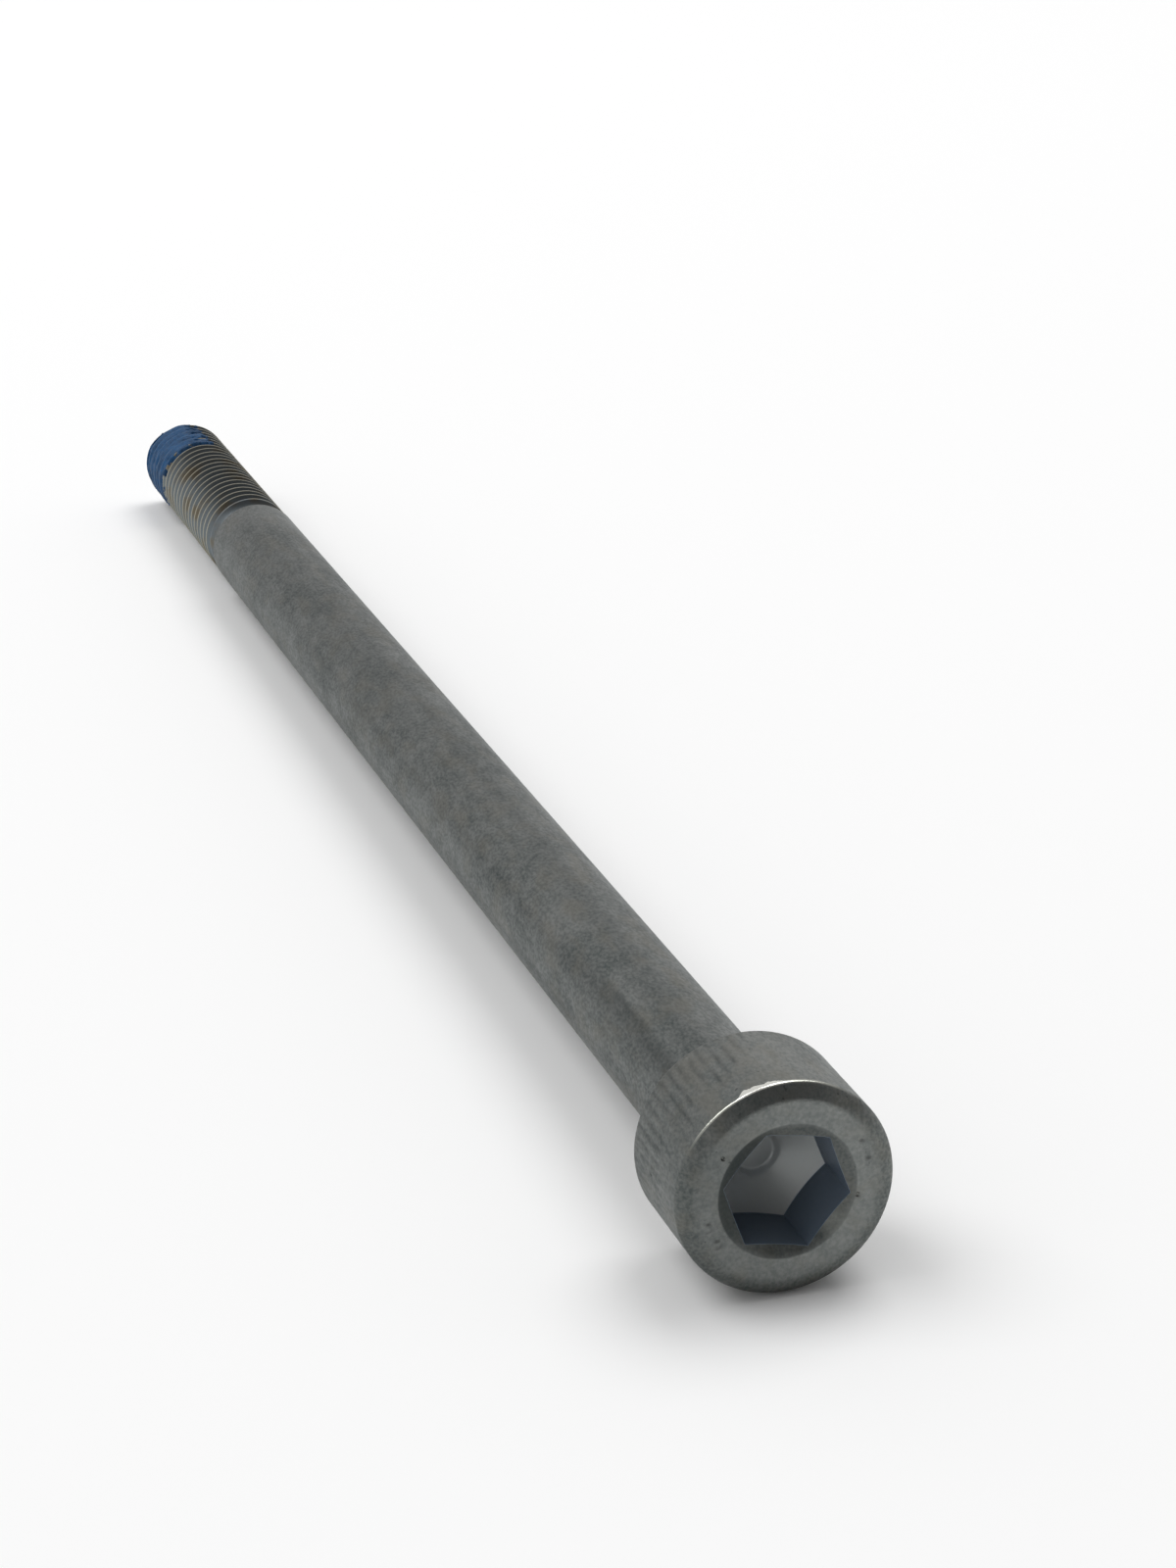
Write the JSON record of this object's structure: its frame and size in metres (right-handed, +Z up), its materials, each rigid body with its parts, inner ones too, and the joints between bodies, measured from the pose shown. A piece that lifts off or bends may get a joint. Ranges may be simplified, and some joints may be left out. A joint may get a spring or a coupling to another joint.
{
  "type": "socket head cap screw",
  "caption": "Long partly threaded socket head cap screw with a worn knurled head, a hexagon socket and a blue thread-locking patch.",
  "frame": {"origin": "centre of the bearing face under the head, on the screw's axis", "axes": "+Y along the screw's axis from the head to the threaded end, +Z up as the screw lies, +X to the right seen from the head"},
  "size_m": [0.01, 0.126, 0.01],
  "materials": {
    "coated_steel": "dull grey zinc flake coat, worn bright at the rim",
    "nylon_patch": "matte blue nylon fused onto the thread"
  },
  "bodies": {
    "root": {"cap_screw": "coated_steel", "locking_patch": "nylon_patch"}
  },
  "joints": []
}
